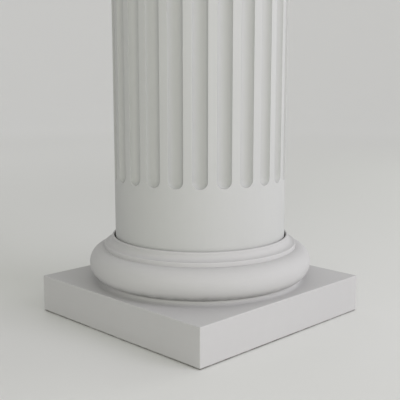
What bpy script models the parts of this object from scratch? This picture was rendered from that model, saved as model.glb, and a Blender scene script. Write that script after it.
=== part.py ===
"""A fluted column, 2.4 m tall, with a square plinth and a plain capital.

Three separate pieces stand on one another on the Z axis, with the floor at Z = 0:
the base (plinth and mouldings in one piece), the shaft with its 24 round-ended flutes,
and the capital. The shaft stands in a round socket in the base, and its top enters
a socket of the same kind in the capital. All lengths are in metres.
"""

import math

import bmesh
import bpy
from mathutils import Matrix

# The column as a whole
COLUMN_HEIGHT = 2.400
FOOT_RADIUS = 0.150
TOP_RADIUS = 0.1275
STRAIGHT_HEIGHT = 0.800
REST_GAP = 0.0003
SLOT_WIDTH = 0.0025

# The base
PLINTH_SIDE = 0.4015
PLINTH_HEIGHT = 0.066
ARRIS_BEVEL = 0.0012
BASE_HEIGHT = 0.1465
BASE_SOCKET_DEPTH = 0.085
DISC_RADIUS = 0.178
DISC_HEIGHT = 0.0067
TORUS_RADIUS = 0.1965
TORUS_UPPER_WIDTH = 0.0255
TORUS_LOWER_WIDTH = 0.0215
TORUS_TOP = 0.1255
BASE_FILLET_RADIUS = 0.170
BASE_FILLET_TOP = 0.1328
BASE_LIP_WIDTH = 0.004
BASE_LIP_HEIGHT = 0.0035

# The flutes
FLUTE_COUNT = 24
FLUTE_ANGLE = math.radians(9.5)
FLUTE_WALL_ANGLE = math.radians(84)
FLUTE_FOOT = 0.2465
FLUTE_HEAD = 2.155
ENTASIS_ROWS = 4

# The capital
ABACUS_SIDE = 0.350
ABACUS_HEIGHT = 0.050
CAPITAL_HEIGHT = 0.160
CAPITAL_SOCKET_DEPTH = 0.100
ECHINUS_RADIUS = 0.168
ECHINUS_HEIGHT = 0.042
CAPITAL_FILLET_RADIUS = 0.1445
CAPITAL_FILLET_HEIGHT = 0.008
CAPITAL_WALL = 0.004
BEAD_RADIUS = 0.0075
BEAD_RISE = 0.013

# How finely round shapes are divided
BASE_SIDES = 60
SHAFT_SIDES = 96
CAPITAL_SIDES = 56
CUTTER_SIDES = 12
BALL_ROWS = 3
OVERRUN = 0.010
SMOOTH_ANGLE = math.radians(32)
WELD_DISTANCE = 0.00005

# Paint, as linear colour
OFF_WHITE = (0.66, 0.66, 0.63, 1.0)
WARM_WHITE = (0.66, 0.65, 0.63, 1.0)
PAINT_ROUGHNESS = 0.75

SHAFT_BOTTOM = BASE_HEIGHT - BASE_SOCKET_DEPTH + REST_GAP
CAPITAL_BOTTOM = COLUMN_HEIGHT - CAPITAL_HEIGHT
SHAFT_TOP = CAPITAL_BOTTOM + CAPITAL_SOCKET_DEPTH - REST_GAP


def clear_scene():
    """Start from an empty scene."""
    for obj in list(bpy.data.objects):
        bpy.data.objects.remove(obj)


def new_collection(name):
    """A collection under the scene's own."""
    collection = bpy.data.collections.new(name)
    bpy.context.scene.collection.children.link(collection)
    return collection


def paint(name, colour):
    """Matt paint on a smooth casting."""
    material = bpy.data.materials.new(name)
    material.use_nodes = True
    shader = material.node_tree.nodes["Principled BSDF"]
    shader.inputs["Base Color"].default_value = colour
    shader.inputs["Roughness"].default_value = PAINT_ROUGHNESS
    shader.inputs["Metallic"].default_value = 0.0
    return material


def base_paint():
    """The base and the capital: off-white with a touch of warmth."""
    return paint("base_paint", WARM_WHITE)


def shaft_paint():
    """The shaft: the same paint, a little greener."""
    return paint("shaft_paint", OFF_WHITE)


def shaft_radius(z):
    """Entasis: straight below, then the cosine curve that masons draw, up to the top radius."""
    rise = max(0.0, z - STRAIGHT_HEIGHT) / (SHAFT_TOP - STRAIGHT_HEIGHT)
    return FOOT_RADIUS * math.cos(rise * math.acos(TOP_RADIUS / FOOT_RADIUS))


def arc(centre, half_width, half_height, start, end, steps):
    """Points (radius, z) on an elliptic arc, its angles in degrees up from outward."""
    points = []
    for step in range(steps + 1):
        angle = math.radians(start + (end - start) * step / steps)
        r = centre[0] + half_width * math.cos(angle)
        z = centre[1] + half_height * math.sin(angle)
        points.append((r, z))
    return points


def turned(name, profile, sides, collection):
    """A turned solid: the profile runs down the outer side, from the axis to the axis."""
    mesh = bpy.data.meshes.new(name)
    points = [(r, 0.0, z) for r, z in profile]
    edges = [(i, i + 1) for i in range(len(points) - 1)]
    mesh.from_pydata(points, edges, [])
    obj = bpy.data.objects.new(name, mesh)
    collection.objects.link(obj)
    screw = obj.modifiers.new("Turn", 'SCREW')
    screw.axis = 'Z'
    screw.angle = 2 * math.pi
    screw.steps = sides
    screw.render_steps = sides
    screw.use_merge_vertices = True
    screw.merge_threshold = WELD_DISTANCE
    return obj


def square_block(name, side, height, bottom, collection):
    """A square slab with its arrises just broken."""
    bm = bmesh.new()
    size = Matrix.Diagonal((side, side, height, 1.0))
    place = Matrix.Translation((0.0, 0.0, bottom + height / 2))
    bmesh.ops.create_cube(bm, size=1.0, matrix=place @ size)
    mesh = bpy.data.meshes.new(name)
    bm.to_mesh(mesh)
    bm.free()
    obj = bpy.data.objects.new(name, mesh)
    collection.objects.link(obj)
    bevel = obj.modifiers.new("Broken arrises", 'BEVEL')
    bevel.width = ARRIS_BEVEL
    bevel.segments = 1
    return obj


def combine(obj, other, operation):
    """Join another solid to this one, or cut it away. The other stays as a hidden guide."""
    boolean = obj.modifiers.new(f"{operation.title()} {other.name}", 'BOOLEAN')
    boolean.operation = operation
    boolean.solver = 'EXACT'
    boolean.object = other
    other.hide_render = True
    other.display_type = 'WIRE'


def weld(mesh):
    """Join the points that a cut leaves on top of each other."""
    bm = bmesh.new()
    bm.from_mesh(mesh)
    bmesh.ops.remove_doubles(bm, verts=bm.verts, dist=WELD_DISTANCE)
    bm.to_mesh(mesh)
    bm.free()


def finish_piece(obj, material):
    """Turn the modifiers' result into the piece's own mesh, painted and shaded."""
    graph = bpy.context.evaluated_depsgraph_get()
    mesh = bpy.data.meshes.new_from_object(obj.evaluated_get(graph))
    weld(mesh)
    obj.modifiers.clear()
    obj.data = mesh
    mesh.name = obj.name
    mesh.materials.clear()
    mesh.materials.append(material)
    mesh.shade_smooth()
    mesh.set_sharp_from_angle(angle=SMOOTH_ANGLE)


def base_profile():
    """Lip, cavetto, fillet, torus and disc, down to just inside the plinth."""
    socket_radius = FOOT_RADIUS + SLOT_WIDTH
    lip_radius = socket_radius + BASE_LIP_WIDTH
    lip_round = BASE_LIP_WIDTH / 2
    disc_top = PLINTH_HEIGHT + DISC_HEIGHT
    lip_foot = BASE_HEIGHT - BASE_LIP_HEIGHT
    torus_half = (TORUS_TOP - disc_top) / 2
    torus_middle = disc_top + torus_half
    upper_torus = (TORUS_RADIUS - TORUS_UPPER_WIDTH, torus_middle)
    lower_torus = (TORUS_RADIUS - TORUS_LOWER_WIDTH, torus_middle)
    cavetto_width = BASE_FILLET_RADIUS - lip_radius
    cavetto_height = lip_foot - BASE_FILLET_TOP
    profile = [(0.0, BASE_HEIGHT)]
    profile += arc((lip_radius - lip_round, BASE_HEIGHT - lip_round), lip_round, lip_round, 90, 0, 2)
    profile += arc((BASE_FILLET_RADIUS, lip_foot), cavetto_width, cavetto_height, 180, 270, 4)
    profile += [(BASE_FILLET_RADIUS, TORUS_TOP)]
    profile += arc(upper_torus, TORUS_UPPER_WIDTH, torus_half, 90, 0, 5)
    profile += arc(lower_torus, TORUS_LOWER_WIDTH, torus_half, -18, -90, 4)
    profile += [(DISC_RADIUS, disc_top), (DISC_RADIUS, PLINTH_HEIGHT - OVERRUN)]
    profile += [(0.0, PLINTH_HEIGHT - OVERRUN)]
    return profile


def make_base(parts, cutters):
    """Plinth and mouldings as one piece, with the socket that the shaft stands in."""
    base = square_block("base", PLINTH_SIDE, PLINTH_HEIGHT, 0.0, parts)
    moulding = turned("base_moulding", base_profile(), BASE_SIDES, cutters)
    socket_radius = FOOT_RADIUS + SLOT_WIDTH
    socket_floor = BASE_HEIGHT - BASE_SOCKET_DEPTH
    socket_profile = [
        (0.0, BASE_HEIGHT + OVERRUN),
        (socket_radius, BASE_HEIGHT + OVERRUN),
        (socket_radius, socket_floor),
        (0.0, socket_floor),
    ]
    socket = turned("base_socket", socket_profile, BASE_SIDES, cutters)
    combine(base, moulding, 'UNION')
    combine(base, socket, 'DIFFERENCE')
    finish_piece(base, base_paint())
    return base


def entasis_heights():
    """Heights at which the shaft and its flutes change slope."""
    rise = SHAFT_TOP - STRAIGHT_HEIGHT
    return [STRAIGHT_HEIGHT + rise * row / ENTASIS_ROWS for row in range(ENTASIS_ROWS)]


def flute_ball(z):
    """Radius of the flute's round cutter at this height, and its centre's distance from the axis."""
    radius = shaft_radius(z)
    half_width = radius * math.sin(FLUTE_ANGLE / 2)
    ball = half_width / math.sin(FLUTE_WALL_ANGLE)
    centre = radius * math.cos(FLUTE_ANGLE / 2) + ball * math.cos(FLUTE_WALL_ANGLE)
    return ball, centre


def flute_end_centre(tip, side):
    """Height of the ball's centre whose cut in the shaft's surface ends at the tip."""
    ball, centre = flute_ball(tip)
    return tip + side * math.sqrt(ball ** 2 - (centre - shaft_radius(tip)) ** 2)


def cutter_rows():
    """Rows (height, thickness from 0 to 1) of a flute cutter: ball, long body, ball."""
    low = flute_end_centre(FLUTE_FOOT, 1)
    high = flute_end_centre(FLUTE_HEAD, -1)
    low_ball = flute_ball(low)[0]
    high_ball = flute_ball(high)[0]
    turns = [math.pi / 2 * row / BALL_ROWS for row in range(BALL_ROWS + 1)]
    rows = [(high + high_ball * math.cos(turn), math.sin(turn)) for turn in turns]
    rows += [(z, 1.0) for z in reversed(entasis_heights()) if low < z < high]
    rows += [(low - low_ball * math.cos(turn), math.sin(turn)) for turn in reversed(turns)]
    return rows


def make_flute_cutter(collection):
    """Twenty-four round bars with ball ends that follow the shaft's outline."""
    bm = bmesh.new()
    verts = [bm.verts.new((thickness, 0.0, z)) for z, thickness in cutter_rows()]
    edges = [bm.edges.new(pair) for pair in zip(verts, verts[1:])]
    bmesh.ops.spin(
        bm, geom=verts + edges, cent=(0, 0, 0), axis=(0, 0, 1), dvec=(0, 0, 0),
        angle=2 * math.pi, steps=CUTTER_SIDES, use_merge=True,
    )
    bmesh.ops.remove_doubles(bm, verts=bm.verts, dist=WELD_DISTANCE)
    for vert in bm.verts:
        ball, centre = flute_ball(vert.co.z)
        vert.co.x = centre + ball * vert.co.x
        vert.co.y = ball * vert.co.y
    first = list(bm.verts) + list(bm.edges) + list(bm.faces)
    for flute in range(1, FLUTE_COUNT):
        copy = bmesh.ops.duplicate(bm, geom=first)["geom"]
        copied = [item for item in copy if isinstance(item, bmesh.types.BMVert)]
        turn = Matrix.Rotation(2 * math.pi * flute / FLUTE_COUNT, 3, 'Z')
        bmesh.ops.rotate(bm, verts=copied, cent=(0, 0, 0), matrix=turn)
    bmesh.ops.recalc_face_normals(bm, faces=bm.faces)
    mesh = bpy.data.meshes.new("flute_cutter")
    bm.to_mesh(mesh)
    bm.free()
    cutter = bpy.data.objects.new("flute_cutter", mesh)
    collection.objects.link(cutter)
    return cutter


def make_shaft(parts, cutters):
    """The shaft: a plain band at each end, and the flutes between."""
    heights = [SHAFT_TOP] + list(reversed(entasis_heights())) + [SHAFT_BOTTOM]
    profile = [(0.0, SHAFT_TOP)]
    profile += [(shaft_radius(z), z) for z in heights]
    profile += [(0.0, SHAFT_BOTTOM)]
    shaft = turned("shaft", profile, SHAFT_SIDES, parts)
    combine(shaft, make_flute_cutter(cutters), 'DIFFERENCE')
    finish_piece(shaft, shaft_paint())
    return shaft


def capital_profile():
    """Echinus, fillet, neck, bead and lip, from just inside the abacus down."""
    abacus_bottom = COLUMN_HEIGHT - ABACUS_HEIGHT
    echinus_foot = abacus_bottom - ECHINUS_HEIGHT
    fillet_foot = echinus_foot - CAPITAL_FILLET_HEIGHT
    bead_centre = CAPITAL_BOTTOM + BEAD_RISE
    neck_radius = shaft_radius(CAPITAL_BOTTOM) + SLOT_WIDTH + CAPITAL_WALL
    echinus_width = ECHINUS_RADIUS - CAPITAL_FILLET_RADIUS
    profile = [(0.0, abacus_bottom + OVERRUN), (ECHINUS_RADIUS, abacus_bottom + OVERRUN)]
    profile += arc((CAPITAL_FILLET_RADIUS, abacus_bottom), echinus_width, ECHINUS_HEIGHT, 0, -90, 6)
    profile += [(CAPITAL_FILLET_RADIUS, fillet_foot), (neck_radius, fillet_foot)]
    profile += arc((neck_radius, bead_centre), BEAD_RADIUS, BEAD_RADIUS, 90, -90, 6)
    profile += [(neck_radius, CAPITAL_BOTTOM), (0.0, CAPITAL_BOTTOM)]
    return profile


def make_capital(parts, cutters):
    """Abacus and mouldings as one piece, with a socket for the shaft's top."""
    abacus_bottom = COLUMN_HEIGHT - ABACUS_HEIGHT
    capital = square_block("capital", ABACUS_SIDE, ABACUS_HEIGHT, abacus_bottom, parts)
    moulding = turned("capital_moulding", capital_profile(), CAPITAL_SIDES, cutters)
    socket_radius = shaft_radius(CAPITAL_BOTTOM) + SLOT_WIDTH
    socket_profile = [
        (0.0, CAPITAL_BOTTOM + CAPITAL_SOCKET_DEPTH),
        (socket_radius, CAPITAL_BOTTOM + CAPITAL_SOCKET_DEPTH),
        (socket_radius, CAPITAL_BOTTOM - OVERRUN),
        (0.0, CAPITAL_BOTTOM - OVERRUN),
    ]
    socket = turned("capital_socket", socket_profile, CAPITAL_SIDES, cutters)
    combine(capital, moulding, 'UNION')
    combine(capital, socket, 'DIFFERENCE')
    finish_piece(capital, base_paint())
    return capital


def main():
    """Build the three pieces."""
    clear_scene()
    parts = new_collection("fluted_column")
    cutters = new_collection("cutters")
    make_base(parts, cutters)
    make_shaft(parts, cutters)
    make_capital(parts, cutters)


main()
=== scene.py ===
# %% [markdown]
# # A fluted column in painted plaster
#
# The real column is three hollow castings of reinforced plaster, painted a matt off-white and set on one
# another: a base with a square plinth, a shaft with twenty-four flutes, and a capital. The packed model has
# their exact sizes. This file gives them the surfaces that the eye meets: soft arrises, true hollows,
# a slightly uneven cast face and a coat of paint.
#
# Everything is in metres, and Z = 0 is the floor. The frame below is fixed: the finished pieces are built
# round it, and the plain solids are hidden behind them.

# %% The packed model
import math
from collections import namedtuple

import bmesh
import bpy
from mathutils import Matrix, Vector, noise


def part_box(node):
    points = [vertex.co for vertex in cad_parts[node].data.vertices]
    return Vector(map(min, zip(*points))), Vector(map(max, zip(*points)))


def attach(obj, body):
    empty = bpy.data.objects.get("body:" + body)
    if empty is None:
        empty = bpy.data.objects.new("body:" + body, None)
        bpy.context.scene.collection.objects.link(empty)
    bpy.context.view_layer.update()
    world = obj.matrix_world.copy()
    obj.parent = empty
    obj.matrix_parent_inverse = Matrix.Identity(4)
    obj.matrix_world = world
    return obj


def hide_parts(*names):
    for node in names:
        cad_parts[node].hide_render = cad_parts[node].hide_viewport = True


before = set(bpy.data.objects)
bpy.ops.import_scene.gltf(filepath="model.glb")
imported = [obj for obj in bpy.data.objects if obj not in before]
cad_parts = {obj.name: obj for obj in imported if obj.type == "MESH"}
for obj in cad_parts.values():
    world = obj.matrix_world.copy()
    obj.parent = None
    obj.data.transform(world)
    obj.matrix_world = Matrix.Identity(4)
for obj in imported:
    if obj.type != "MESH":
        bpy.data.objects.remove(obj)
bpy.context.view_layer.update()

# %% [markdown]
# ## Sizes
#
# A size that the packed model holds is read from it, so it can't drift. The plinth's half side, the shaft's
# radius and the heights where one piece ends are all corners of a node's box.

# %% Sizes read from the packed model
base_low, base_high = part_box("base")
shaft_low, shaft_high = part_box("shaft")
capital_low, capital_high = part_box("capital")

PLINTH_HALF = base_high.x
FOOT_RADIUS = shaft_high.x
ABACUS_HALF = capital_high.x
print(f"plinth {2 * PLINTH_HALF:.3f}, shaft {2 * FOOT_RADIUS:.3f}, height {capital_high.z:.3f} m")

# %% [markdown]
# ## The camera
#
# The photograph looks straight at a corner of the plinth, from about a metre and a third away, a little
# under half a metre above the floor and ten degrees down. The two sides of the plinth run to vanishing
# points, and those give the lens and the tilt; the plinth's corners then give the distance.

# %% Camera at the photograph's place
CAMERA_AROUND = math.radians(45)
CAMERA_DISTANCE = 1.3588
CAMERA_HEIGHT = 0.4406
CAMERA_TILT = math.radians(9.863)
LENS = 69.74
SENSOR = 36.0


def around(angle):
    """The level direction from the column's axis at this angle, turning from -Y towards +X."""
    return Vector((math.sin(angle), -math.cos(angle), 0.0))


def make_camera():
    """A camera beside the column, turned to its axis and tilted down."""
    data = bpy.data.cameras.new("camera")
    data.lens = LENS
    data.sensor_width = SENSOR
    camera = bpy.data.objects.new("camera", data)
    bpy.context.scene.collection.objects.link(camera)
    camera.location = around(CAMERA_AROUND) * CAMERA_DISTANCE + Vector((0, 0, CAMERA_HEIGHT))
    look = -around(CAMERA_AROUND) * math.cos(CAMERA_TILT) - Vector((0, 0, math.sin(CAMERA_TILT)))
    camera.rotation_euler = look.to_track_quat('-Z', 'Y').to_euler()
    bpy.context.scene.camera = camera
    return camera


camera = make_camera()
print("camera at", [round(x, 3) for x in camera.location])

# %% [markdown]
# ## Shader nodes as sums
#
# Paint is mostly a colour with small changes laid over it. Written out as nodes and links, each change
# takes a dozen lines. `Signal` holds the output of a node and lets Python's own `+`, `-` and `*` add the
# Math nodes, so that a formula can be read as one. `Finish` is a material while it is being made, and its
# method `node` makes every other kind of node: first the settings, then the sockets.

# %% A signal and a finish
class Signal:
    """The output of a shader node. Arithmetic on it adds Math nodes."""

    def __init__(self, finish, socket):
        self.finish = finish
        self.socket = socket

    def __add__(self, other):
        return self.finish.maths('ADD', self, other)

    def __radd__(self, other):
        return self.finish.maths('ADD', other, self)

    def __sub__(self, other):
        return self.finish.maths('SUBTRACT', self, other)

    def __rsub__(self, other):
        return self.finish.maths('SUBTRACT', other, self)

    def __mul__(self, other):
        return self.finish.maths('MULTIPLY', self, other)

    def __rmul__(self, other):
        return self.finish.maths('MULTIPLY', other, self)


class Finish:
    """A material while it is being made, with one Principled shader."""

    def __init__(self, name):
        self.material = bpy.data.materials.new(name)
        self.material.use_nodes = True
        self.shader = self.material.node_tree.nodes["Principled BSDF"]

    def plug(self, socket, value):
        """Link a signal to the socket, or set a plain value on it."""
        if isinstance(value, Signal):
            self.material.node_tree.links.new(value.socket, socket)
        else:
            socket.default_value = value

    def node(self, kind, settings=None, inputs=None, output=0):
        """Add a node, make its settings, fill its sockets, and give one of its outputs."""
        made = self.material.node_tree.nodes.new(kind)
        for setting, value in (settings or {}).items():
            setattr(made, setting, value)
        for socket, value in (inputs or {}).items():
            self.plug(made.inputs[socket], value)
        return Signal(self, made.outputs[output])

    def maths(self, operation, first, second):
        """One Math node."""
        return self.node("ShaderNodeMath", {"operation": operation}, {0: first, 1: second})

    def surface(self, **sockets):
        """Fill the shader's own sockets, named with _ for a space."""
        for name, value in sockets.items():
            self.plug(self.shader.inputs[name.replace("_", " ")], value)


print("a Signal knows", [name for name in vars(Signal) if name.startswith("__r")])

# %% [markdown]
# A few more words make the formulas short. `spot` is where a point lies on the object, in metres,
# stretched along each axis. `cloud` is soft noise between about -1 and 1, with so many patches to the
# metre. `step_up` rises smoothly from 0 to 1 between two values. A colour is mixed by `blend`, because Math
# nodes would turn it grey. `mark` reads a number that the mesh carries at its points.

# %% Words for patterns
COLOUR_MIX = {"factor": 0, "first": 6, "second": 7, "result": 2}
NOISE_MIDDLE = 0.5
NOISE_GAIN = 3.0


def spot(finish, stretch):
    """The point on the object in metres, times the stretch along each axis."""
    place = finish.node("ShaderNodeTexCoord", output="Object")
    return finish.node("ShaderNodeVectorMath", {"operation": 'MULTIPLY'}, {0: place, 1: stretch})


def cloud(finish, stretch, detail=2.0):
    """Soft noise from about -1 to 1. The stretch is its patches to the metre along each axis."""
    inputs = {"Vector": spot(finish, stretch), "Scale": 1.0, "Detail": detail}
    return (finish.node("ShaderNodeTexNoise", inputs=inputs) - NOISE_MIDDLE) * NOISE_GAIN


def step_up(finish, value, low, high):
    """0 below low, 1 above high, and a smooth rise between them."""
    inputs = {"Value": value, "From Min": low, "From Max": high}
    return finish.node("ShaderNodeMapRange", {"interpolation_type": 'SMOOTHSTEP'}, inputs)


def blend(finish, first, second, factor, mode='MIX'):
    """One colour laid over another."""
    inputs = {COLOUR_MIX["factor"]: factor, COLOUR_MIX["first"]: first, COLOUR_MIX["second"]: second}
    settings = {"data_type": 'RGBA', "blend_type": mode}
    return finish.node("ShaderNodeMix", settings, inputs, COLOUR_MIX["result"])


def mark(finish, name):
    """A number that the mesh carries at each of its points."""
    return finish.node("ShaderNodeAttribute", {"attribute_name": name}, output="Fac")


print("pattern words:", [word.__name__ for word in (spot, cloud, step_up, blend, mark)])

# %% [markdown]
# ## The studio
#
# The column stands in a light tent: a pale floor that curves up into walls of the same stuff, with soft
# boxes shining through them. The floor is one turned bowl, so it has no horizon. Its walls glow faintly,
# as a lit tent does, and that glow starts well away from the column, so the floor beside it still takes
# a shadow. The bowl is wide enough for a camera on any side.

# %% The floor and the tent
BOWL_RADIUS = 9.0
BOWL_BEND = 3.0
BOWL_TOP = 7.0
BOWL_STEPS = 96
BEND_STEPS = 15
TENT_TONE = (0.75, 0.75, 0.735, 1.0)
GLOW_TONE = (0.970, 0.955, 1.0, 1.0)
GLOW_STARTS = 0.9
GLOW_FULL = 4.3
GLOW_STRENGTH = 0.162
TENT_ROUGHNESS = 0.8
MATT_SHINE = 0.3
BLACK = (0.0, 0.0, 0.0, 1.0)
BOWL_WELD = 0.00001


def make_floor():
    """A turned bowl with a level middle and walls that curve up."""
    outline = [(0.0, 0.0), (GLOW_STARTS, 0.0), (GLOW_FULL, 0.0)]
    for step in range(BEND_STEPS + 1):
        turn = math.pi / 2 * step / BEND_STEPS
        reach = BOWL_RADIUS - BOWL_BEND * (1 - math.sin(turn))
        outline.append((reach, BOWL_BEND * (1 - math.cos(turn))))
    outline.append((BOWL_RADIUS, BOWL_TOP))
    bm = bmesh.new()
    line = [bm.verts.new((reach, 0.0, height)) for reach, height in outline]
    edges = [bm.edges.new(pair) for pair in zip(line, line[1:])]
    bmesh.ops.spin(
        bm, geom=line + edges, cent=(0, 0, 0), axis=(0, 0, 1), dvec=(0, 0, 0),
        angle=2 * math.pi, steps=BOWL_STEPS, use_merge=True,
    )
    bmesh.ops.remove_doubles(bm, verts=bm.verts, dist=BOWL_WELD)
    bmesh.ops.recalc_face_normals(bm, faces=bm.faces)
    mesh = bpy.data.meshes.new("studio_floor")
    bm.to_mesh(mesh)
    bm.free()
    mesh.shade_smooth()
    floor = bpy.data.objects.new("studio_floor", mesh)
    bpy.context.scene.collection.objects.link(floor)
    return floor


def tent_cloth():
    """Matt pale cloth that glows away from the column."""
    finish = Finish("tent_cloth")
    place = spot(finish, (1.0, 1.0, 1.0))
    away = finish.node("ShaderNodeVectorMath", {"operation": 'LENGTH'}, {0: place}, output="Value")
    glow = step_up(finish, away, GLOW_STARTS, GLOW_FULL)
    finish.surface(
        Base_Color=TENT_TONE,
        Roughness=TENT_ROUGHNESS,
        Specular_IOR_Level=MATT_SHINE,
        Emission_Color=blend(finish, BLACK, GLOW_TONE, glow),
        Emission_Strength=GLOW_STRENGTH,
    )
    return finish.material


floor = make_floor()
floor.data.materials.append(tent_cloth())
print("floor:", len(floor.data.vertices), "points")

# %% [markdown]
# ## The light
#
# The picture has no hard shadow, yet every flute is shaded from one wall to the other, and the plinth's
# right face is much lighter than its left. So the main light is a soft box out to the right, low enough to
# light upright faces, with a second one nearly in line with the camera. Two weaker boxes behind brighten
# the edges, and an even glow from all round fills the hollows. Each box is placed by its angle from the
# camera, to the right, and its height above the horizon. A grid in front of each box keeps its light
# from spreading quite to the sides, so the floor next to it isn't burnt out.

# %% Soft boxes
BOX_DISTANCE = 3.0
BOX_LOWEST = 0.05
BOX_AIM = 0.25
BOX_SPREAD = math.radians(155)


def soft_box(name, turn, rise, size, watts, tone):
    """A flat light that faces the column's foot, or a little above it to stay clear of the floor."""
    data = bpy.data.lights.new(name, 'AREA')
    data.shape = 'RECTANGLE'
    data.size, data.size_y = size
    data.spread = BOX_SPREAD
    data.energy = watts
    data.color = tone
    box = bpy.data.objects.new(name, data)
    bpy.context.scene.collection.objects.link(box)
    turn = math.radians(turn) + CAMERA_AROUND
    rise = math.radians(rise)
    back = around(turn) * math.cos(rise) + Vector((0, 0, math.sin(rise)))
    drop = size[1] / 2 * math.cos(rise) + BOX_LOWEST
    aim = max(BOX_AIM, drop - BOX_DISTANCE * math.sin(rise))
    box.location = Vector((0, 0, aim)) + back * BOX_DISTANCE
    box.rotation_euler = (-back).to_track_quat('-Z', 'Y').to_euler()
    box.visible_camera = False
    return box


boxes = [
    soft_box("main_box", 60, 28, (2.0, 2.0), 26.6, (0.923, 0.887, 1.0)),
    soft_box("front_box", 5, 8, (1.8, 1.8), 18.8, (0.982, 1.0, 0.879)),
    soft_box("right_box", 119, 8, (1.4, 1.8), 14.0, (0.954, 1.0, 0.934)),
    soft_box("back_box", -151, 35, (2.0, 2.0), 4.7, (0.968, 0.942, 1.0)),
]
print("soft boxes:", {box.name: round(box.data.energy, 1) for box in boxes})

# %% [markdown]
# The even glow is the world's own colour. It is a little greener and yellower than the main box, which is
# why the shaded walls of the flutes look warmer than the fillets beside them. The picture is shown without
# a film look, so the tones stay as the lights make them.

# %% Even glow, and how tones are shown
FILL_TONE = (0.989, 1.0, 0.948, 1.0)
FILL_STRENGTH = 0.471

world = bpy.data.worlds.new("tent_glow")
world.use_nodes = True
bpy.context.scene.world = world
background = world.node_tree.nodes["Background"]
background.inputs["Color"].default_value = FILL_TONE
background.inputs["Strength"].default_value = FILL_STRENGTH
bpy.context.scene.view_settings.view_transform = 'Standard'
print("fill strength", FILL_STRENGTH)

# %% [markdown]
# ## The paint
#
# Matt paint on plaster looks flat from across a room, but it isn't one colour. The coat is thicker in some
# patches, the brush leaves faint strokes, dust settles in slots and along the foot, and hands rub the
# arrises smooth. Close up, a roller leaves a fine stipple, and a few air holes of the casting show through.
# Some of it is painted light as well: the dark tone in the slots, creases, hollows and along the foot is
# painted shade as much as dust, the lighter arrises are a painted highlight as well as wear, and each air
# hole is darkened as painted shade in its pit.
#
# The mesh carries two marks at each point: one for dust and painted shade, where dirt gathers and where
# shade falls, and one for wear and painted highlight, on the arrises. The formulas below add the patches
# and strokes to them. `thick` is how light the coat is, where 1 is the plain tone, and each small factor is
# one cause's share. Every length is real: the bump's height is in metres.

# %% Paint on plaster
PATCHES = (7.0, 7.0, 7.0)
MOTTLES = (60.0, 60.0, 60.0)
STIPPLE = (520.0, 520.0, 520.0)
UPRIGHT_STROKES = (170.0, 170.0, 5.0)
LEVEL_STROKES = (6.0, 6.0, 170.0)
HOLES = (75.0, 75.0, 75.0)
HOLE_PATCHES = (11.0, 11.0, 11.0)
HOLE_EDGE = (0.02, 0.05)
PITTED_FROM = (0.55, 0.75)
# A dark tone for dust and for painted shade in the slots, creases, hollows and along the foot.
DUST_AND_SHADE_TONE = (0.155, 0.150, 0.135, 1.0)
DUST_AND_SHADE_UNEVEN = 0.5
ROUGHNESS = 0.78
STIPPLE_HEIGHT = 0.000012
STROKE_HEIGHT = 0.000010
MOTTLE_HEIGHT = 0.00003
HOLE_DEPTH = 0.00025


def paint(name, tone, strokes):
    """Matt paint of this tone, brushed along the strokes' long direction."""
    finish = Finish(name)
    patch = cloud(finish, PATCHES, 3.0)
    mottle = cloud(finish, MOTTLES)
    stroke = cloud(finish, strokes)
    stipple = cloud(finish, STIPPLE)
    dust = mark(finish, "dust")
    worn = mark(finish, "worn")

    centre = finish.node("ShaderNodeTexVoronoi", inputs={"Vector": spot(finish, HOLES), "Scale": 1.0})
    pitted = step_up(finish, cloud(finish, HOLE_PATCHES), *PITTED_FROM)
    # Each air hole is darkened in colour below, as painted shade inside the pit; its depth goes into the
    # bump.
    shaded_hole = (1 - step_up(finish, centre, *HOLE_EDGE)) * pitted

    # The arrises' share lightens the coat: a painted highlight along them, as well as wear.
    thick = 1.0 + patch * 0.012 + mottle * 0.007 + stroke * 0.006 + worn * 0.02 - shaded_hole * 0.15
    grey = finish.node("ShaderNodeCombineColor", inputs={0: thick, 1: thick, 2: thick})
    coat = blend(finish, tone, grey, 1.0, 'MULTIPLY')
    # Mixing in the dark tone paints shade into the slots, creases, hollows and the foot, along with some
    # dust.
    dirt_and_shade = step_up(finish, dust * (1 + mottle * DUST_AND_SHADE_UNEVEN + patch * DUST_AND_SHADE_UNEVEN), 0.0, 1.0)
    height = stipple * STIPPLE_HEIGHT + stroke * STROKE_HEIGHT + mottle * MOTTLE_HEIGHT - shaded_hole * HOLE_DEPTH
    relief = finish.node("ShaderNodeBump", inputs={"Height": height, "Distance": 1.0, "Strength": 1.0})
    finish.surface(
        Base_Color=blend(finish, coat, DUST_AND_SHADE_TONE, dirt_and_shade),
        Roughness=ROUGHNESS + patch * 0.03 + stipple * 0.03 + dust * 0.1 - worn * 0.12,
        Specular_IOR_Level=MATT_SHINE,
        Normal=relief,
    )
    return finish.material


# %% Two batches of the same off-white
SHAFT_TONE = (0.535, 0.537, 0.532, 1.0)
BASE_TONE = (0.541, 0.535, 0.537, 1.0)

shaft_paint = paint("shaft_paint", SHAFT_TONE, UPRIGHT_STROKES)
base_paint = paint("base_paint", BASE_TONE, LEVEL_STROKES)
capital_paint = paint("capital_paint", BASE_TONE, LEVEL_STROKES)
for material in (shaft_paint, base_paint, capital_paint):
    print(material.name, len(material.node_tree.nodes), "nodes")

# %% [markdown]
# ## How the castings are built
#
# The base and the capital are turned mouldings joined to a square slab. Both are made here as a stack of
# level rings with a skin between them. A ring may be a circle, a square with rounded corners, or anything
# between the two, and every ring has its points in the same order, so a circle can grow into a square
# without a seam. `Ring` also carries the two marks for the paint.

# %% A ring, and a stretch of rings along an arc
Ring = namedtuple("Ring", "reach height square dust worn", defaults=(0.0, 0.0, 0.0))


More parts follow.
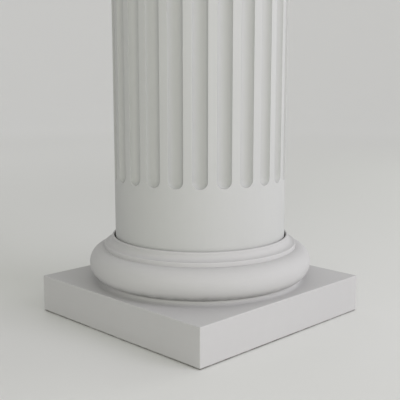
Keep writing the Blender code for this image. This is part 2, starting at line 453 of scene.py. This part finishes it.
def bend(centre, wide, high, start, end, steps, square=0.0, dust=(0.0, 0.0), worn=0.0):
    """Rings along an elliptic arc, with angles in degrees up from outward. Dirt and painted shade change
    evenly along it.
    """
    rings = []
    for step in range(steps + 1):
        share = step / steps
        turn = math.radians(start + (end - start) * share)
        reach = centre[0] + wide * math.cos(turn)
        height = centre[1] + high * math.sin(turn)
        darkened = dust[0] + (dust[1] - dust[0]) * share
        rings.append(Ring(reach, height, square, darkened, worn))
    return rings


def between(first, last, steps):
    """Rings evenly between two others, without those two."""
    rings = []
    for step in range(1, steps):
        share = step / steps
        rings.append(Ring(*[a + (b - a) * share for a, b in zip(first, last)]))
    return rings


print("a quarter round of 2 mm:", [round(ring.reach, 5) for ring in bend((0, 0), 0.002, 0.002, 90, 0, 3)])

# %% [markdown]
# A side of the square is divided so that its points lie on even rays from the middle, which is where the
# circle has its own points. Close to each corner comes one extra ray: it holds the smooth shading of the
# corner's small rounding away from the flat face.

# %% The points of one ring
SIDE_STEPS = 44
CORNER_STEPS = 5
CORNER_RAY = math.radians(0.12)
CORNER_ROUND = 0.0014
LEAST_ROUND = 0.0001


def side_rays():
    """Angles of the rays across one side, from one corner to the other."""
    even = [math.radians(90 * step / SIDE_STEPS - 45) for step in range(SIDE_STEPS + 1)]
    return even[:1] + [even[0] + CORNER_RAY] + even[1:-1] + [even[-1] - CORNER_RAY] + even[-1:]


def ring_points(ring, half_side):
    """The ring's points, seen from above, going round from the -Y side."""
    corner = max(LEAST_ROUND, CORNER_ROUND - (half_side - ring.reach))
    flat = ring.reach - corner
    quarter = []
    for ray in side_rays():
        circle = Vector((math.cos(ray), math.sin(ray))) * ring.reach
        quarter.append(circle.lerp(Vector((ring.reach, flat * math.tan(ray))), ring.square))
    diagonal = Vector((1, 1)).normalized() * ring.reach
    for step in range(1, CORNER_STEPS):
        turn = math.pi / 2 * step / CORNER_STEPS
        rounded = Vector((flat, flat)) + Vector((math.cos(turn), math.sin(turn))) * corner
        quarter.append(diagonal.lerp(rounded, ring.square))
    return [Matrix.Rotation(math.pi / 2 * side, 2) @ point for side in range(4) for point in quarter]


print("points in a ring:", len(ring_points(Ring(PLINTH_HALF, 0, 1), PLINTH_HALF)))

# %% [markdown]
# A plaster face is never dead flat. After the skin is made, each point sinks a little way into the casting,
# by an amount that changes slowly over the surface. Points only ever sink, so the piece stays inside its
# measured size. Edges sharper than forty degrees stay crisp, and the rest is shaded smooth.

# %% Skin, unevenness and shading
SHARP = math.radians(40)
WELD = 0.000001
BROAD_WAVES = 8.0
SHORT_WAVES = 45.0
BROAD_SHARE = 0.8
SHORT_SHARE = 0.2
WAVE_MIDDLE = 0.5
WAVE_SWING = 0.6


def skin(bm, rows, flipped=False):
    """Quads between neighbouring rows of points."""
    for row, beyond in zip(rows, rows[1:]):
        for a, b, c, d in zip(row, row[1:], beyond[1:], beyond):
            bm.faces.new((d, c, b, a) if flipped else (a, b, c, d))


def sink(bm, most):
    """Let the surface sink by up to most metres, here more and there less."""
    bm.normal_update()
    for vert in bm.verts:
        broad = noise.noise(vert.co * BROAD_WAVES)
        short = noise.noise(vert.co * SHORT_WAVES)
        wave = BROAD_SHARE * broad + SHORT_SHARE * short
        vert.co -= vert.normal * most * min(1.0, max(0.0, WAVE_MIDDLE + WAVE_SWING * wave))


def casting(name, bm, most, material):
    """Close the mesh, let it settle, and make it a painted object."""
    bmesh.ops.remove_doubles(bm, verts=bm.verts, dist=WELD)
    open_edges = [edge for edge in bm.edges if edge.is_boundary]
    bmesh.ops.holes_fill(bm, edges=open_edges)
    bmesh.ops.recalc_face_normals(bm, faces=bm.faces)
    sink(bm, most)
    mesh = bpy.data.meshes.new(name)
    bm.to_mesh(mesh)
    bm.free()
    mesh.shade_smooth()
    mesh.set_sharp_from_angle(angle=SHARP)
    mesh.materials.append(material)
    piece = bpy.data.objects.new(name, mesh)
    bpy.context.scene.collection.objects.link(piece)
    return piece


def stacked(name, rings, half_side, most, material):
    """A casting from a stack of rings."""
    bm = bmesh.new()
    dust = bm.verts.layers.float.new("dust")
    worn = bm.verts.layers.float.new("worn")
    rows = []
    for ring in rings:
        row = [bm.verts.new((point.x, point.y, ring.height)) for point in ring_points(ring, half_side)]
        for vert in row:
            vert[dust] = ring.dust
            vert[worn] = ring.worn
        rows.append(row + row[:1])
    skin(bm, rows)
    return casting(name, bm, most, material)


print("waves: one to", round(1 / BROAD_WAVES, 3), "m and one to", round(1 / SHORT_WAVES, 3), "m")

# %% [markdown]
# ## The base
#
# The shaft stands in a round socket with a narrow slot of shadow round it. From the slot's lip a hollow
# curve (a cavetto) runs out to a small fillet. Below it bulges the torus, which rests on a thin disc, and
# the disc's edge flows out in a small cove to the square plinth. On the real base a template run round the
# wet plaster cuts this outline; here the same outline is a list of rings, from the socket's floor out and
# down to the underside.
#
# The paint darkens the slot, the corners of the mouldings, the torus's underside, and most of all the
# plinth's lower arris, which is blunter than the others from being set down. This is dust and painted shade
# together: the shade in these hollows and at the floor is painted into the colour.

# %% The base's outline
SLOT_WIDTH = 0.0025
SOCKET_DEPTH = 0.085
LIP_WIDTH = 0.004
LIP_HEIGHT = 0.0035
SLOT_ROUND = 0.001
LIP_ROUND = 0.002
FILLET_RADIUS = 0.170
FILLET_TOP = 0.1328
FILLET_ROUND = 0.0018
TORUS_RADIUS = 0.1965
TORUS_WIDTH = 0.0255
TORUS_FOOT_WIDTH = 0.0215
TORUS_TOP = 0.1255
DISC_RADIUS = 0.178
DISC_TOP = 0.0727
DISC_ROUND = 0.0018
DISC_COVE_WIDTH = 0.009
DISC_COVE_HEIGHT = 0.0048
PLINTH_TOP = 0.066
ARRIS_ROUND = 0.0012
FOOT_ROUND = 0.0026
SUPPORT = 0.0006
SLOT_DUST_AND_SHADE = 0.6


def slab_side(half, top, top_round, bottom, bottom_round, dust=0.0, steps=8):
    """Rings down the side of a square slab, from its top arris to its bottom one."""
    upper = Ring(half, top - top_round - SUPPORT, 1.0)
    lower = Ring(half, bottom + bottom_round + SUPPORT, 1.0)
    rings = bend((half - top_round, top - top_round), top_round, top_round, 90, 0, 4, 1.0, worn=1.0)
    rings += [upper] + between(upper, lower, steps) + [lower]
    foot = (half - bottom_round, bottom + bottom_round)
    return rings + bend(foot, bottom_round, bottom_round, 0, -90, 5, 1.0, (dust / 2, dust))


def base_rings():
    """The socket's wall, lip, cavetto, fillet, torus, disc and plinth."""
    top = base_high.z
    slot = FOOT_RADIUS + SLOT_WIDTH
    lip = slot + LIP_WIDTH
    cove = (FILLET_RADIUS - FILLET_ROUND, top - LIP_HEIGHT)
    torus_half = (TORUS_TOP - DISC_TOP) / 2
    torus = (TORUS_RADIUS - TORUS_WIDTH, DISC_TOP + torus_half)
    # The slot, the creases, the torus's underside and the plinth's foot are darkened by the paint: dust and
    # painted shade together.
    rings = [Ring(slot, height, dust=SLOT_DUST_AND_SHADE) for height in (top - SOCKET_DEPTH, top - 5 * SLOT_ROUND)]
    mouth = (slot + SLOT_ROUND, top - SLOT_ROUND)
    rings += bend(mouth, SLOT_ROUND, SLOT_ROUND, 180, 90, 4, dust=(0.4, 0.1))
    rings += bend((lip - LIP_ROUND, top - LIP_ROUND), LIP_ROUND, LIP_ROUND, 90, 0, 6, worn=0.5)
    rings += bend(cove, cove[0] - lip, cove[1] - FILLET_TOP, 180, 270, 14, dust=(0.0, 0.03))
    edge = (cove[0], FILLET_TOP - FILLET_ROUND)
    rings += bend(edge, FILLET_ROUND, FILLET_ROUND, 90, 0, 5, worn=1.0)
    rings += [Ring(FILLET_RADIUS, TORUS_TOP, dust=0.03)]
    rings += bend(torus, TORUS_WIDTH, torus_half, 90, 70, 4, dust=(0.03, 0.0))
    rings += bend(torus, TORUS_WIDTH, torus_half, 65, 0, 13)
    torus = (TORUS_RADIUS - TORUS_FOOT_WIDTH, torus[1])
    rings += bend(torus, TORUS_FOOT_WIDTH, torus_half, -5, -20, 4)
    # The torus's underside darkens most as it turns under: painted shade where it hangs over the disc.
    rings += bend(torus, TORUS_FOOT_WIDTH, torus_half, -25, -50, 6, dust=(0.06, 0.3))
    rings += bend(torus, TORUS_FOOT_WIDTH, torus_half, -55, -90, 8, dust=(0.3, 0.4))
    edge = (DISC_RADIUS - DISC_ROUND, DISC_TOP - DISC_ROUND)
    rings += bend(edge, DISC_ROUND, DISC_ROUND, 90, 0, 6, dust=(0.4, 0.0))
    cove = (DISC_RADIUS + DISC_COVE_WIDTH, PLINTH_TOP + DISC_COVE_HEIGHT)
    rings += bend(cove, DISC_COVE_WIDTH, DISC_COVE_HEIGHT, 180, 270, 7)
    inner = Ring(cove[0] + SUPPORT, PLINTH_TOP)
    outer = Ring(PLINTH_HALF - ARRIS_ROUND - SUPPORT, PLINTH_TOP, 1.0)
    rings += [inner] + between(inner, outer, 10) + [outer]
    # The plinth's foot carries the darkest mark: painted shade of the crease at the floor, as well as dust.
    return rings + slab_side(PLINTH_HALF, PLINTH_TOP, ARRIS_ROUND, base_low.z, FOOT_ROUND, dust=1.0)


# %% Cast the base
UNEVEN = 0.0003

base = stacked("base_casting", base_rings(), PLINTH_HALF, UNEVEN, base_paint)
print("base:", len(base.data.polygons), "faces, size", [round(x, 4) for x in base.dimensions])

# %% [markdown]
# ## The shaft
#
# A flute is nearly half round in section, with a narrow flat fillet left between it and the next, and it
# ends in a quarter ball. Cutting twenty-four of them out of a cylinder with a boolean gives slivers and
# rough shading along the arrises. Unrolled and laid flat, though, each flute sits in its own long strip,
# and the strip's points can follow the flute: straight rows along it, and a fan of rows round each end,
# stretched to the strip's square corners. Half a strip is worked out once, then mirrored and repeated.
#
# First the section: half an arc, the arris softened over a third of a millimetre, and the flat fillet.

# %% Half of a flute's section
FLUTES = 24
FLUTE_TURN = math.radians(9.5)
FLUTE_HALF = FOOT_RADIUS * FLUTE_TURN / 2
FLUTE_WALL = math.radians(88)
ARRIS_SOFT = 0.00035
ARC_STEPS = 11
ARRIS_STEPS = 4
# The flute's hollow is darkened with depth, as painted shade.
FLUTE_HOLLOW_SHADE = 0.05

SectionPoint = namedtuple("SectionPoint", "across depth dust worn")


def flute_section():
    """From the flute's middle line, over its arris, to the edge of the fillet."""
    bow = FLUTE_HALF / math.sin(FLUTE_WALL)
    last = FLUTE_WALL - ARRIS_SOFT / bow
    deepest = bow * (1 - math.cos(FLUTE_WALL))
    section = []
    for step in range(ARC_STEPS + 1):
        turn = last * step / ARC_STEPS
        depth = bow * (math.cos(turn) - math.cos(FLUTE_WALL))
        section.append(SectionPoint(bow * math.sin(turn), depth, FLUTE_HOLLOW_SHADE * depth / deepest, 0.0))
    wall = Vector((section[-1].across, section[-1].depth))
    edge = Vector((FLUTE_HALF, 0))
    fillet = Vector((FLUTE_HALF + ARRIS_SOFT, 0))
    for step in range(1, ARRIS_STEPS + 1):
        share = step / ARRIS_STEPS
        point = wall.lerp(edge, share).lerp(edge.lerp(fillet, share), share)
        # The arris points are lightened by the paint, a painted highlight as well as wear.
        section.append(SectionPoint(point.x, point.y, 0.0, 1.0))
    return section


section = flute_section()
print(f"flute {2000 * FLUTE_HALF:.1f} mm wide and {1000 * section[0].depth:.1f} mm deep")

# %% [markdown]
# Now the rows of the strip. A row is the section laid out from the flute's middle, at some turn from level,
# and then flat on to the strip's edge. The turn is 0 along the flute and grows to a right angle round its
# ends. Near the top the shaft is thinner, and the flutes narrow with it, so the ball ends shrink too.

# %% Rows of the strip, and their place on the shaft
FLUTE_FOOT = 0.2465
FLUTE_HEAD = 2.155
STRAIGHT_HEIGHT = 0.800
TOP_RADIUS = 0.1275
STRIP_HALF = math.pi * FOOT_RADIUS / FLUTES
FILLET_SHARES = (0.12, 0.5, 1.0)
BODY_STEPS = 30
END_STEPS = 16


def shaft_radius(height):
    """Straight below, then the slow cosine curve that narrows a column to its top."""
    rise = max(0.0, height - STRAIGHT_HEIGHT) / (shaft_high.z - STRAIGHT_HEIGHT)
    return FOOT_RADIUS * math.cos(rise * math.acos(TOP_RADIUS / FOOT_RADIUS))


def strip_row(middle, turn, side):
    """Points (across, height, depth, soil and painted shade, wear and painted highlight) of one row. Side
    is -1 below the flute and 1 above it.
    """
    limit = STRIP_HALF / max(math.cos(turn), math.sin(turn))
    edge = section[-1].across
    flat = [SectionPoint(edge + (limit - edge) * share, 0.0, 0.0, 0.0) for share in FILLET_SHARES]
    size = shaft_radius(middle) / FOOT_RADIUS
    row = []
    for point in section + flat:
        height = middle + side * size * point.across * math.sin(turn)
        row.append((point.across * math.cos(turn), height, point.depth, point.dust, point.worn))
    return row


def strip_rows():
    """All rows of a strip, from under the flute to over it."""
    low = FLUTE_FOOT + FLUTE_HALF
    high = FLUTE_HEAD - FLUTE_HALF * shaft_radius(FLUTE_HEAD) / FOOT_RADIUS
    turns = [math.pi / 2 * step / END_STEPS for step in range(END_STEPS, 0, -1)]
    rows = [strip_row(low, turn, -1) for turn in turns]
    rows += [strip_row(low + (high - low) * step / BODY_STEPS, 0.0, 0) for step in range(BODY_STEPS + 1)]
    rows += [strip_row(high, turn, 1) for turn in reversed(turns)]
    return rows


strip = strip_rows()
print(len(strip), "rows of", len(strip[0]), "points in half a strip")

# %% [markdown]
# The plain band under the flutes, and the one over them, are rows between the strip's square end and the
# end of the shaft. Their points continue those of the fan, from its middle to its corner.

# %% Cast the shaft
BAND_STEPS = 6
SHAFT_UNEVEN = 0.00012


def band_rows(fan, end):
    """Rows from the end of a strip to the end of the shaft. The fan is the strip's rows there."""
    line = [row[-1] for row in fan]
    rows = []
    for step in range(BAND_STEPS + 1):
        share = step / BAND_STEPS
        rows.append([(point[0], point[1] + (end - point[1]) * share, 0.0, 0.0, 0.0) for point in line])
    return rows


def wrap(bm, rows, turn, side):
    """Put rows of strip points on the shaft, at this flute, to one side of its middle line."""
    dust = bm.verts.layers.float["dust"]
    worn = bm.verts.layers.float["worn"]
    placed = []
    for row in rows:
        verts = []
        for across, height, depth, darkened, rubbed_and_highlit in row:
            radius = shaft_radius(height)
            reach = radius - depth * radius / FOOT_RADIUS
            angle = turn + side * across / FOOT_RADIUS
            vert = bm.verts.new((reach * math.cos(angle), reach * math.sin(angle), height))
            vert[dust] = darkened
            vert[worn] = rubbed_and_highlit
            verts.append(vert)
        placed.append(verts)
    return placed


def make_shaft():
    """Twenty-four strips, with a plain band at each end."""
    bm = bmesh.new()
    bm.verts.layers.float.new("dust")
    bm.verts.layers.float.new("worn")
    corner = END_STEPS // 2 + 1
    foot_band = band_rows(strip[:corner], shaft_low.z)
    head_band = band_rows(strip[:-corner - 1:-1], shaft_high.z)
    for flute in range(FLUTES):
        turn = 2 * math.pi * flute / FLUTES
        for side in (-1, 1):
            for rows in (strip, foot_band, head_band):
                skin(bm, wrap(bm, rows, turn, side))
    return casting("shaft_casting", bm, SHAFT_UNEVEN, shaft_paint)


shaft = make_shaft()
print("shaft:", len(shaft.data.polygons), "faces, size", [round(x, 4) for x in shaft.dimensions])

# %% [markdown]
# ## The capital
#
# The photograph ends below the capital, so this one is the plain Tuscan pattern that belongs to such
# a base: a square abacus, a rounded echinus with a small fillet under it, a smooth neck and a bead. It is
# stacked from rings in the same way, from the abacus's top down and up into the socket. Nothing on it is
# sharper or finer than on the base.

# %% The capital's outline
ABACUS_HEIGHT = 0.050
ECHINUS_RADIUS = 0.168
ECHINUS_HEIGHT = 0.042
NECK_FILLET_RADIUS = 0.1445
NECK_FILLET_HEIGHT = 0.008
NECK_WALL = 0.004
BEAD_RADIUS = 0.0075
BEAD_RISE = 0.013
CAPITAL_SOCKET = 0.100


def capital_rings():
    """Abacus, echinus, fillet, neck, bead, lip and the socket's wall."""
    bottom = capital_low.z
    under = capital_high.z - ABACUS_HEIGHT
    echinus_foot = under - ECHINUS_HEIGHT
    fillet_foot = echinus_foot - NECK_FILLET_HEIGHT
    socket = shaft_radius(bottom) + SLOT_WIDTH
    neck = socket + NECK_WALL
    rings = slab_side(ABACUS_HALF, capital_high.z, ARRIS_ROUND, under, ARRIS_ROUND, steps=6)
    outer = Ring(ABACUS_HALF - ARRIS_ROUND - SUPPORT, under, 1.0)
    # The marks here darken the creases under the abacus and the fillet, the neck and the socket: painted
    # shade with some dust.
    inner = Ring(ECHINUS_RADIUS, under, 0.0, 0.15)
    rings += [outer] + between(outer, inner, 8) + [inner]
    echinus = (NECK_FILLET_RADIUS, under)
    rings += bend(echinus, ECHINUS_RADIUS - NECK_FILLET_RADIUS, ECHINUS_HEIGHT, 0, -90, 16)
    edge = (NECK_FILLET_RADIUS - FILLET_ROUND, fillet_foot + FILLET_ROUND)
    rings += bend(edge, FILLET_ROUND, FILLET_ROUND, 0, -90, 4, worn=0.5)
    rings += [Ring(neck, fillet_foot, dust=0.15), Ring(neck, fillet_foot - SUPPORT, dust=0.1)]
    bead = (neck, bottom + BEAD_RISE)
    rings += [Ring(neck, bead[1] + BEAD_RADIUS + SUPPORT, dust=0.08)]
    rings += bend(bead, BEAD_RADIUS, BEAD_RADIUS, 90, -90, 14)
    rings += bend((neck - SLOT_ROUND, bottom + SLOT_ROUND), SLOT_ROUND, SLOT_ROUND, 0, -90, 4)
    rings += bend((socket + SLOT_ROUND, bottom + SLOT_ROUND), SLOT_ROUND, SLOT_ROUND, -90, -180, 4)
    return rings + [Ring(socket, bottom + CAPITAL_SOCKET, dust=1.0)]


# %% Cast the capital
capital = stacked("capital_casting", capital_rings(), ABACUS_HALF, UNEVEN, capital_paint)
print("capital:", len(capital.data.polygons), "faces, size", [round(x, 4) for x in capital.dimensions])

# %% [markdown]
# ## Hand the pieces to the frame
#
# Each casting stands for one solid of the packed model, which is hidden.

# %% Hand over
HANDED_OVER = (
    (base, "base", "base_paint"),
    (shaft, "shaft", "shaft_paint"),
    (capital, "capital", "base_paint"),
)
for piece, node, slot in HANDED_OVER:
    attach(piece, "root")
    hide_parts(node)
